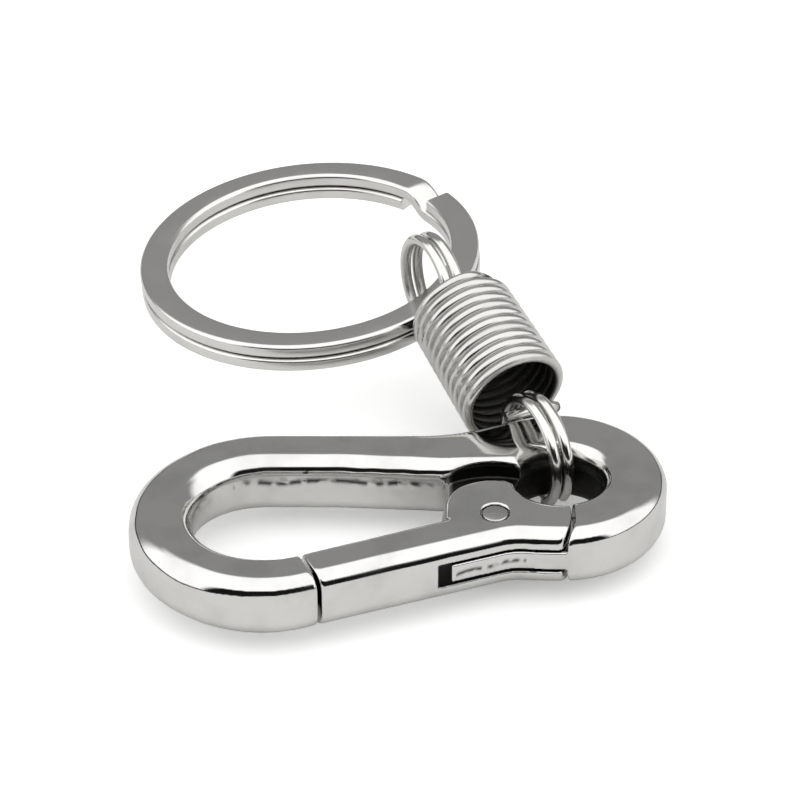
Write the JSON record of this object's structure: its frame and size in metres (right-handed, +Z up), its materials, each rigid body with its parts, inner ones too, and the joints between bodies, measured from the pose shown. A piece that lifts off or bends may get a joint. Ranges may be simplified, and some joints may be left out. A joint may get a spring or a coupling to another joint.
{
  "type": "carabiner keyring",
  "caption": "Cast snap carabiner with a sprung fork gate, joined through split rings and a close-wound coil spring to a flat key ring.",
  "frame": {"origin": "middle of the bottom of the bounding box at rest", "axes": "+Z up with the carabiner lying flat, +X along its spine from the round nose to the head, +Y from the gate towards the spine and the key ring"},
  "size_m": [0.045, 0.062, 0.0142],
  "materials": {
    "chrome_casting": "tumbled zinc casting with bright chrome plate",
    "plated_pin": "plated steel rivet ground flush",
    "spring_steel": "drawn spring wire",
    "nickel_wire": "nickel plated round wire",
    "nickel_strip": "nickel plated rolled strip, satin faces and bright edges"
  },
  "bodies": {
    "carabiner": {"carabiner_body": "chrome_casting", "gate_pivot_pin": "plated_pin"},
    "gate_lever": {"gate": "chrome_casting", "gate_return_spring": "spring_steel"},
    "front_ring": {"front_split_ring": "nickel_wire"},
    "spring_link": {"coil_spring": "nickel_wire"},
    "rear_ring": {"rear_split_ring": "nickel_wire"},
    "key_ring": {"key_ring": "nickel_strip"}
  },
  "joints": [
    {"name": "gate_pivot", "type": "hinge", "parent": "carabiner", "child": "gate_lever", "pos_m": [0.0082, -0.02103, 0], "axis": [0, 0, -1], "range_deg": [0, 38], "stiffness_Nm_per_rad": 0.03, "springref_deg": -17.19},
    {"name": "front_ring_in_eye", "type": "hinge", "parent": "carabiner", "child": "front_ring", "pos_m": [0.01194, -0.00957, 0.00499], "axis": [0.8949, 0.4462, 0], "range_deg": [-30, 68]},
    {"name": "coil_spring_on_front_ring", "type": "hinge", "parent": "front_ring", "child": "spring_link", "pos_m": [0.01066, -0.00699, 0.00686], "axis": [0.8949, 0.4462, 0], "range_deg": [-6, 42]},
    {"name": "rear_ring_on_coil_spring", "type": "hinge", "parent": "spring_link", "child": "rear_ring", "pos_m": [0.00476, 0.00566, 0.00994], "axis": [0.8949, 0.4462, 0], "range_deg": [-6, 38]},
    {"name": "key_ring_on_rear_ring", "type": "hinge", "parent": "rear_ring", "child": "key_ring", "pos_m": [0.00338, 0.00844, 0.0077], "axis": [0.6157, 0.788, 0], "range_deg": [-90, 18]}
  ]
}
